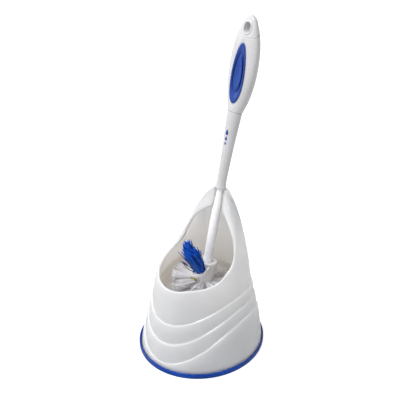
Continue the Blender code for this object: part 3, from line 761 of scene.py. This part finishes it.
def bristle_tubes(starts, ends, radius, bow, sides=5, segments=7):
    """Points and faces of closed bristles, each bowed a little and tapered at its tip."""
    points, faces = [], []
    turns = np.linspace(0, math.tau, sides, endpoint=False)
    for start, end in zip(starts, ends):
        along = unit(end - start)
        level, rise = across(along)
        bend = rng.normal(0, bow, 2)
        phase = rng.uniform(0, math.tau)
        thickness = radius * rng.uniform(0.85, 1.12)
        first = len(points)
        for k, t in enumerate(np.linspace(0, 1, segments + 1)):
            sway = math.sin(math.pi * t) + 0.25 * t
            centre = start + (end - start) * t + (level * bend[0] + rise * bend[1]) * sway
            centre = centre + level * CURL * math.sin(phase + CURL_TURNS * t) * t
            size = thickness * (BLUNT_TIP if k == segments else 1.0)
            for turn in turns:
                points.append(centre + (level * math.cos(turn) + rise * math.sin(turn)) * size)
        faces += grid_faces(segments + 1, sides, first=first)
        faces.append(tuple(first + i for i in range(sides))[::-1])
        faces.append(tuple(first + segments * sides + i for i in range(sides)))
    return np.array(points), faces


def disc_points(count):
    """Evenly spread points of the unit disc, in sunflower order."""
    order = np.arange(count) + 0.5
    radius, turn = np.sqrt(order / count), order * GOLDEN_TURN
    return np.stack((radius * np.cos(turn), radius * np.sin(turn)), -1)


def fan(start, end, count, root, tip_wide, tip_high, uneven):
    """Root and tip of every bristle of a tuft that opens out from a round root."""
    along = unit(end - start)
    level, rise = across(along)
    spots = disc_points(count) + rng.normal(0, 0.05, (count, 2))
    starts = start + np.outer(spots[:, 0] * root, level) + np.outer(spots[:, 1] * root, rise)
    wide = spots[:, 0] * tip_wide + rng.normal(0, 0.25, count)
    high = spots[:, 1] * tip_high + rng.normal(0, 0.25, count)
    ends = end + np.outer(wide, level) + np.outer(high, rise)
    ends += np.outer(rng.normal(0, uneven, count), along)
    return starts, ends


def make_white_tufts(finish):
    for row, (height, count, first, tilt, tip_radius) in enumerate(TUFT_ROWS):
        for i in range(count):
            turn = math.radians(first + 360.0 * i / count)
            outward = np.array((math.sin(turn), -math.cos(turn), 0.0))
            start = outward * TUFT_SEAT_RADIUS + (0.0, 0.0, height)
            reach = tip_radius - TUFT_SEAT_RADIUS
            end = start + outward * reach + (0.0, 0.0, reach * math.tan(math.radians(tilt)))
            starts, ends = fan(start, end, TUFT_BRISTLES, 1.7, 7.2, 4.6, 1.0)
            tuft = bristle_tubes(starts, ends, 0.3, 0.6)
            place = f"{row + 1}_{i + 1:02d}"
            add_brush_piece(f"bristles_{place}", tuft, finish, [f"tuft_{place}"])
    starts, ends = fan(*END_TUFT, END_TUFT_BRISTLES, 2.6, 6.0, 6.0, 0.4)
    tuft = bristle_tubes(starts, ends, 0.24, 0.3)
    add_brush_piece("bristles_end", tuft, finish, ["tuft_end"])


def make_blue_tufts(finish):
    """Four bundles that lean forward from the cup as one mass, with a few strays."""
    lean_by_x, lean_by_y = BUNDLE_LEAN_BY_PLACE
    uneven_lean, uneven_swing, uneven_length = BUNDLE_UNEVEN
    for i, angle in enumerate(BUNDLE_ANGLES):
        turn = math.radians(angle)
        starts, ends = [], []
        for spot in disc_points(BUNDLE_BRISTLES) + rng.normal(0, 0.05, (BUNDLE_BRISTLES, 2)):
            x = BUNDLE_ARC * math.sin(turn) + BUNDLE_ROOT * spot[0]
            y = 1.0 - BUNDLE_ARC * math.cos(turn) - BUNDLE_ROOT * spot[1]
            stray = rng.uniform() < STRAY_SHARE
            lean = BUNDLE_LEAN + lean_by_y * y + lean_by_x * x + rng.normal(0, uneven_lean)
            swing = math.radians(BUNDLE_SWING_BY_X * x + BUNDLE_SWING + rng.normal(0, uneven_swing))
            length = BUNDLE_LENGTH - BUNDLE_SHORTENING * x + rng.normal(0, uneven_length)
            if stray:
                lean += STRAY_LEAN
                length -= STRAY_SHORTENING
            lean = math.radians(lean)
            level = math.cos(swing)
            aim = np.array((math.sin(swing), -math.sin(lean) * level, math.cos(lean) * level))
            root = carrier_place((x, y, -1.5))
            starts.append(root)
            ends.append(root + aim * length)
        shape = bristle_tubes(np.array(starts), np.array(ends), 0.45, 0.6)
        add_brush_piece(f"blue_bristles_{i + 1}", shape, finish, [f"blue_tuft_{i + 1}"])


# ---------------- handle

STEM_SECTIONS = (
    (0.0, 6.2, 6.2, 6.2), (2.6, 6.2, 6.2, 6.2), (6.5, 5.6, 5.6, 5.6), (16.0, 5.5, 5.45, 5.55),
    (35.0, 6.0, 5.8, 6.3), (56.0, 6.7, 6.3, 7.3), (74.0, 7.6, 6.7, 8.5), (91.2, 8.4, 6.9, 9.7),
)
GRIP_SECTIONS = (
    (91.5, 8.6, 7.0, 9.8), (98.0, 10.4, 7.0, 12.6), (105.0, 12.2, 7.0, 15.2),
    (120.0, 15.2, 7.0, 17.4), (135.0, 17.0, 7.0, 17.6), (150.0, 17.6, 7.0, 16.6),
    (165.0, 16.8, 6.8, 14.8), (178.0, 14.4, 6.4, 12.6), (188.0, 11.2, 5.6, 10.4),
    (196.0, 8.2, 4.3, 7.6), (200.5, 5.4, 2.6, 5.4), (203.0, 1.6, 0.2, 2.9),
)
STEM_TOP = 91.3
STEM_EDGE = 0.8
STEM_BODY_TOP = 90.8
STEM_RIM = ((91.0, 0.1), (91.2, 0.5))  # height, and how far in from the stem's outline
STEM_FACE = (91.2, 6.0, 4.5, 7.0)
TILT_RUN = 13.0
TILT_RISE = 1.4
TILT_BY_Y = 0.14
GRIP_FOOT = 91.5
GRIP_EDGE = 0.4
GRIP_TURN_ZONE = 0.85
SEAM_LEAN_FROM = 118.0
SEAM_LEAN_TO = 203.0
CAP_SEAM = ((-6.4, 179.5), (12.0, 187.0))
SEAM_GAP = 0.5
HOLE_HALF_WIDTH = 4.0
HOLE_LENGTH = 12.0
HOLE_CENTRE_Z = 191.2
HOLE_CENTRE_Y = 2.0
HOLE_TILT = math.radians(12.0)
HOLE_BEAD = (0.38, 0.9, 0.65)  # height, distance from the hole and width of the bead round it
HOLE_DISH = (0.55, 3.0, 1.15)
HOLE_ROUNDING = (0.54, 0.35)
INSET_MIDDLE = 138.2
INSET_HALF_LENGTH = 35.6
INSET_HALF_WIDTH = 9.1
INSET_POINTEDNESS = 0.15
INSET_PROFILE = (
    (0.955, -2.2), (0.97, -0.9), (0.975, 0.1), (0.95, 0.75), (0.9, 0.95), (0.84, 0.75), (0.76, 0.1),
    (0.68, -0.85), (0.63, -1.25), (0.59, -0.9), (0.55, -0.25), (0.5, 0.0), (0.42, -0.15), (0.28, -0.65),
    (0.12, -1.0), (0.04, -1.05),
)
GROOVE = 0.55
POCKET_DEPTH = 2.6
POCKET_WALL = (-1.6, -0.4)
DROPS = ((56.0, 1.9, 1.0), (61.8, 2.5, 1.35), (69.0, 3.3, 1.7))  # middle, half length, half width
DROP_PROFILE = ((1.0, -0.15), (1.0, 0.05), (0.85, 0.11), (0.5, 0.13), (0.1, 0.13))

GRIP_CURVE = smooth_through(GRIP_SECTIONS, 900)


def grip_size(height):
    """Half width, front and back of the grip's outer face."""
    return [np.interp(height, GRIP_CURVE[:, 0], GRIP_CURVE[:, i]) for i in (1, 2, 3)]


def oval_point(angle, height, half_width, front, back, shrink=0.0):
    """Point of an oval made of a front and a back half-ellipse."""
    depth = np.where(np.cos(angle) > 0, front, back) - shrink
    x = (half_width - shrink) * np.sin(angle)
    return np.stack((x, -depth * np.cos(angle), height + 0.0 * angle), -1)


def seat_tilt(points):
    """Leans the joint between stem and grip, which stands higher at the front."""
    nearness = np.exp(-(((points[..., 2] - STEM_TOP) / TILT_RUN) ** 2))
    points[..., 2] += nearness * (TILT_RISE - TILT_BY_Y * points[..., 1])
    return points


def make_stem(finish):
    turns = np.linspace(0, math.tau, 80, endpoint=False)
    foot, end = STEM_SECTIONS[0][1:], STEM_SECTIONS[-1][1:]
    rings = []
    for t in np.linspace(0, math.pi / 2, 6)[:-1]:
        height, shrink = STEM_EDGE * (1 - math.cos(t)), STEM_EDGE * (1 - math.sin(t))
        rings.append(oval_point(turns, height, *foot, shrink=shrink))
    for height, half_width, front, back in smooth_through(STEM_SECTIONS, 120):
        if STEM_EDGE < height < STEM_BODY_TOP:
            rings.append(oval_point(turns, height, half_width, front, back))
    for height, shrink in STEM_RIM:
        rings.append(oval_point(turns, height, *end, shrink=shrink))
    rings.append(oval_point(turns, *STEM_FACE))
    stem = loft(seat_tilt(np.array(rings)))
    add_brush_piece("handle_stem_fine", stem, finish, ["handle_stem"])


def inset_shape(scale, turns):
    x = INSET_HALF_WIDTH * scale * np.sin(turns) * (1 - INSET_POINTEDNESS * np.cos(turns))
    return x, INSET_MIDDLE + INSET_HALF_LENGTH * scale * np.cos(turns)


def inset_scale_at(x, height):
    """How far out of the inset's middle a place is: 1 on its outline."""
    lift = (height - INSET_MIDDLE) / INSET_HALF_LENGTH
    scale = np.sqrt(lift**2 + (x / INSET_HALF_WIDTH) ** 2) + 1e-6
    for _ in range(12):
        cosine = np.clip(lift / scale, -1, 1)
        scale = np.sqrt(lift**2 + (x / (INSET_HALF_WIDTH * (1 - INSET_POINTEDNESS * cosine))) ** 2) + 1e-6
    return scale


def seam_height(y, height):
    """Height of a ring that leans towards the seam the nearer it comes to it."""
    (front_y, front_z), (back_y, back_z) = CAP_SEAM
    slope = (back_z - front_z) / (back_y - front_y)
    weight = smoothstep(SEAM_LEAN_FROM, front_z, height) * (1 - smoothstep(front_z, SEAM_LEAN_TO, height))
    return height + slope * weight * (y - front_y)


def grip_ring(turns, height, shrink=0.0):
    y = np.zeros(len(turns))
    for _ in range(8):
        real = seam_height(y, height)
        half_width, front, back = grip_size(real)
        y = -(np.where(np.cos(turns) > 0, front, back) - shrink) * np.cos(turns)
    return np.stack(((half_width - shrink) * np.sin(turns), y, seam_height(y, height)), -1)


def grip_turns():
    """Angles round the grip, crowded at the front where the inset sits."""
    front = np.linspace(0, GRIP_TURN_ZONE, 52, endpoint=False)
    right = np.concatenate((front, np.linspace(GRIP_TURN_ZONE, math.pi, 34)))
    return np.concatenate((right, math.tau - right[1:-1][::-1]))


def make_grip(finish):
    turns = grip_turns()
    top = CAP_SEAM[0][1] - SEAM_GAP / 2 - GRIP_EDGE
    rings = []
    for t in np.linspace(0, math.pi / 2, 5)[:-1]:
        inset = GRIP_EDGE * (1 - math.sin(t))
        rings.append(grip_ring(turns, GRIP_FOOT + inset, inset))
    for height in np.linspace(GRIP_FOOT + GRIP_EDGE, top, 230):
        rings.append(grip_ring(turns, height))
    for t in np.linspace(0, math.pi / 2, 5)[1:]:
        rings.append(grip_ring(turns, top + GRIP_EDGE * math.sin(t), GRIP_EDGE * (1 - math.cos(t))))
    rings = seat_tilt(np.array(rings))
    away = (inset_scale_at(rings[..., 0], rings[..., 2]) - 1) * INSET_HALF_WIDTH
    groove = np.exp(-((away / GROOVE) ** 2)) * GROOVE
    pocket = (1 - smoothstep(*POCKET_WALL, away)) * POCKET_DEPTH
    rings[..., 1] += np.where(rings[..., 1] < 0, np.maximum(groove, pocket), 0.0)
    add_brush_piece("grip_shell_fine", loft(rings), finish, ["grip_shell"])


def make_inset(finish):
    turns = np.linspace(0, math.tau, 120, endpoint=False)
    rings = []
    for scale, proud in smooth_through(INSET_PROFILE, 110):
        x, height = inset_shape(scale, turns)
        half_width, front, _ = grip_size(height)
        forward = front * np.sqrt(np.clip(1 - (x / half_width) ** 2, 0, 1))
        rings.append(np.stack((x, -(forward + proud), height), -1))
    add_brush_piece("grip_inset_fine", loft(rings), finish, ["grip_inset"])


def hole_outline(turn):
    """Distance from the hole's middle to its edge in each direction of the front view."""
    straight = HOLE_LENGTH / 2 - HOLE_HALF_WIDTH
    sine, cosine = np.abs(np.sin(turn)), np.abs(np.cos(turn))
    side = HOLE_HALF_WIDTH / np.maximum(sine, 1e-9)
    arc = straight * cosine + np.sqrt(np.maximum(HOLE_HALF_WIDTH**2 - (straight * sine) ** 2, 0))
    return np.where(side * cosine < straight, side, arc)


def cap_face(x, height, forward):
    """Depth of the cap's front or back face."""
    half_width, front, back = grip_size(height)
    middle, deep_front = (back - front) / 2, (back + front) / 2
    inside = np.sqrt(np.clip(1 - (x / np.maximum(half_width, 1e-6)) ** 2, 0, 1))
    if forward:
        return np.where(front > 0, -front * inside, middle - deep_front * inside)
    return np.where(front > 0, back * inside, middle + deep_front * inside)


def cap_reach(turn, centre, forward):
    """How far the cap's face goes from the hole's middle before the outline or the seam."""
    (front_y, front_z), (back_y, back_z) = CAP_SEAM
    slope = (back_z - front_z) / (back_y - front_y)
    low, high = np.zeros(len(turn)), np.full(len(turn), 40.0)
    for _ in range(40):
        reach = (low + high) / 2
        x, height = reach * np.sin(turn), centre + reach * np.cos(turn)
        half_width = grip_size(height)[0]
        y = cap_face(x, height, forward)
        above = height - (front_z + slope * (y - front_y)) > SEAM_GAP / 2
        inside = (np.abs(x) < half_width * 0.9995) & above & (height < GRIP_SECTIONS[-1][0] - 0.05)
        low, high = np.where(inside, reach, low), np.where(inside, high, reach)
    return low


def cap_face_rows(turn, forward):
    """Rows of the cap's front or back face, from the hanging hole to the outline."""
    lean = (cap_face(0.0, HOLE_CENTRE_Z, forward) - HOLE_CENTRE_Y) * math.tan(HOLE_TILT)
    centre = HOLE_CENTRE_Z + lean
    hole = hole_outline(turn)
    room = cap_reach(turn, centre, forward) - hole
    rows = []
    for share in np.sin(np.linspace(0, math.pi / 2, 34)):
        away = room * share
        r = hole + away
        x, height = r * np.sin(turn), centre + r * np.cos(turn)
        relief = 0.0
        for (size, place, width), sign in ((HOLE_BEAD, 1), (HOLE_DISH, -1)):
            relief = relief + sign * size * np.exp(-(((away - place) / width) ** 2))
        relief = relief * np.clip((room - away) / 2.0, 0, 1)
        relief = relief - HOLE_ROUNDING[0] * np.exp(-((away / HOLE_ROUNDING[1]) ** 2))
        y = cap_face(x, height, forward) + (-relief if forward else relief)
        rows.append(np.stack((x, y, height), -1))
    return rows


def make_cap(finish):
    """Closed cap whose grid runs from the hanging hole over the front, round the outline and back."""
    turn = np.linspace(0, math.tau, 144, endpoint=False)
    front_rows = cap_face_rows(turn, True)
    back_rows = cap_face_rows(turn, False)[::-1]
    joined = list(front_rows)
    for share in np.linspace(0, 1, 6)[1:-1]:
        joined.append(front_rows[-1] + (back_rows[0] - front_rows[-1]) * share)
    joined += back_rows
    for share in np.linspace(0, 1, 9)[1:-1]:
        joined.append(back_rows[-1] + (front_rows[0] - back_rows[-1]) * share)
    add_brush_piece("end_cap_fine", closed_round(joined), finish, ["end_cap"])


def make_mark(finish):
    """A plain row of small drops printed on the stem's front, in place of any lettering."""
    curve = smooth_through(STEM_SECTIONS, 200)
    turns = np.linspace(0, math.tau, 32, endpoint=False)
    for i, (middle, length, width) in enumerate(DROPS):
        rings = []
        for scale, proud in DROP_PROFILE:
            x = width * scale * np.sin(turns) * (1 - 0.45 * np.cos(turns))
            height = middle + length * scale * np.cos(turns)
            half_width = np.interp(height, curve[:, 0], curve[:, 1])
            front = np.interp(height, curve[:, 0], curve[:, 2])
            forward = front * np.sqrt(1 - (x / half_width) ** 2)
            rings.append(np.stack((x, -(forward + proud), height), -1))
        add_brush_piece(f"stem_drop_{i + 1}", loft(rings), finish)


# ---------------- floor, lights, camera


FLOOR_GLOW = (0.1, 0.75)  # towards the object, and towards the camera
SKY_BRIGHT_SIDE = (-0.62, -0.36, 0.7)
SKY_STRENGTH = (0.56, 0.98)
LIGHTS = (
    ("key", (-1.3, -0.7, 0.8), (0.0, 0.0, 0.16), (0.9, 1.2), 4.5),
    ("over_mouth", (-0.2, -0.62, 1.5), (0.0, 0.0, 0.1), (0.6, 0.6), 12.0),
)
CAMERA_AZIMUTH = math.radians(43.0)
CAMERA_ELEVATION = math.radians(34.0)
CAMERA_DISTANCE = 1.43
CAMERA_TARGET = Vector((0.0, 0.0, 0.165))
CAMERA_LENS = 112.9
CAMERA_SHIFT = (-0.0043, 0.0643)


def make_floor():
    bpy.ops.mesh.primitive_plane_add(size=12.0, location=(0.0, 0.0, 0.0))
    floor = bpy.context.object
    floor.name = "studio_floor"
    finish = Finish("studio_floor", (0.5, 0.5, 0.5), 0.9)
    finish.set("Emission Color", (1.0, 1.0, 1.0, 1.0))
    seen = finish.nodes.new("ShaderNodeLightPath").outputs["Is Camera Ray"]
    finish.links.new(finish.ramp(seen, 0.0, 1.0, *FLOOR_GLOW), finish.shader.inputs["Emission Strength"])
    floor.data.materials.append(finish.material)


def stand(name, data, place, direction):
    """Adds a light or a camera that looks in a direction."""
    made = bpy.data.objects.new(name, data)
    bpy.context.scene.collection.objects.link(made)
    made.location = place
    made.rotation_mode = "QUATERNION"
    made.rotation_quaternion = direction.to_track_quat("-Z", "Y")
    return made


def make_light(name, place, aim, size, power):
    data = bpy.data.lights.new(name, "AREA")
    data.shape = "RECTANGLE"
    data.size, data.size_y = size
    data.energy = power
    stand(name, data, place, Vector(aim) - Vector(place))


def make_camera():
    data = bpy.data.cameras.new("camera")
    data.lens = CAMERA_LENS
    data.sensor_width = 36.0
    data.shift_x, data.shift_y = CAMERA_SHIFT
    data.clip_start, data.clip_end = 0.05, 50.0
    level = math.cos(CAMERA_ELEVATION)
    side, ahead = math.sin(CAMERA_AZIMUTH) * level, math.cos(CAMERA_AZIMUTH) * level
    away = Vector((side, -ahead, math.sin(CAMERA_ELEVATION)))
    bpy.context.scene.camera = stand("camera", data, CAMERA_TARGET + away * CAMERA_DISTANCE, -away)


def make_studio():
    make_floor()
    world = bpy.data.worlds.new("studio")
    world.use_nodes = True
    backdrop = world.node_tree.nodes["Background"]
    backdrop.inputs["Color"].default_value = (1.0, 1.0, 1.0, 1.0)
    nodes, links = world.node_tree.nodes, world.node_tree.links
    towards = nodes.new("ShaderNodeVectorMath")
    towards.operation = "DOT_PRODUCT"
    towards.inputs[1].default_value = SKY_BRIGHT_SIDE
    links.new(nodes.new("ShaderNodeTexCoord").outputs["Generated"], towards.inputs[0])
    brightness = map_range(nodes, links, towards.outputs["Value"], -0.6, 1.0, *SKY_STRENGTH)
    links.new(brightness, backdrop.inputs["Strength"])
    bpy.context.scene.world = world
    bpy.context.scene.view_settings.view_transform = "Standard"
    for light in LIGHTS:
        make_light(*light)
    make_camera()


def main():
    milky = {"Subsurface_Weight": 1.0, "Subsurface_Radius": (1.0, 0.96, 0.9), "Subsurface_Scale": 0.014}
    glow = {"Subsurface_Weight": 0.8, "Subsurface_Radius": (1.0, 0.98, 0.95), "Subsurface_Scale": 0.004}
    low_shine = {"Specular_IOR_Level": 0.22}
    # the third colour is the painted warm shade of the shell's inner face
    shell_white = shell_plastic(
        "shell_white", (0.87, 0.86, 0.84), (0.905, 0.895, 0.873), (0.77, 0.7, 0.64), 0.2, **milky)
    tray_blue = moulded_plastic("tray_blue", (0.0, 0.036, 0.27), (0.001, 0.055, 0.36), 0.18, **low_shine)
    handle_white = moulded_plastic("handle_white", (0.56, 0.56, 0.575), (0.6, 0.6, 0.615), 0.25)
    rod_white = moulded_plastic("rod_white", (0.88, 0.875, 0.89), (0.92, 0.915, 0.93), 0.25, **glow)
    hub_white = moulded_plastic("hub_white", (0.88, 0.875, 0.89), (0.92, 0.915, 0.93), 0.3, **glow)
    # the first colour is the painted shade in the inset's grooves
    inset_blue = soft_grip("inset_blue", (0.002, 0.012, 0.12), (0.022, 0.065, 0.3), 0.24, **low_shine)
    bristle_white = bristle_plastic("bristle_white", (0.84, 0.82, 0.84), (1.0, 0.99, 1.0), 0.45)
    bristle_blue = bristle_plastic("bristle_blue", (0.0, 0.01, 0.15), (0.01, 0.17, 0.85), 0.22, **low_shine)

    make_studio()
    make_shell(shell_white)
    make_tray(tray_blue)
    make_rod(rod_white)
    make_hub(hub_white)
    make_carrier(hub_white)
    make_staple(brass_wire("staple_brass"))
    make_white_tufts(bristle_white)
    make_blue_tufts(bristle_blue)
    make_stem(handle_white)
    make_grip(handle_white)
    make_inset(inset_blue)
    make_cap(handle_white)
    make_mark(inset_blue)


main()
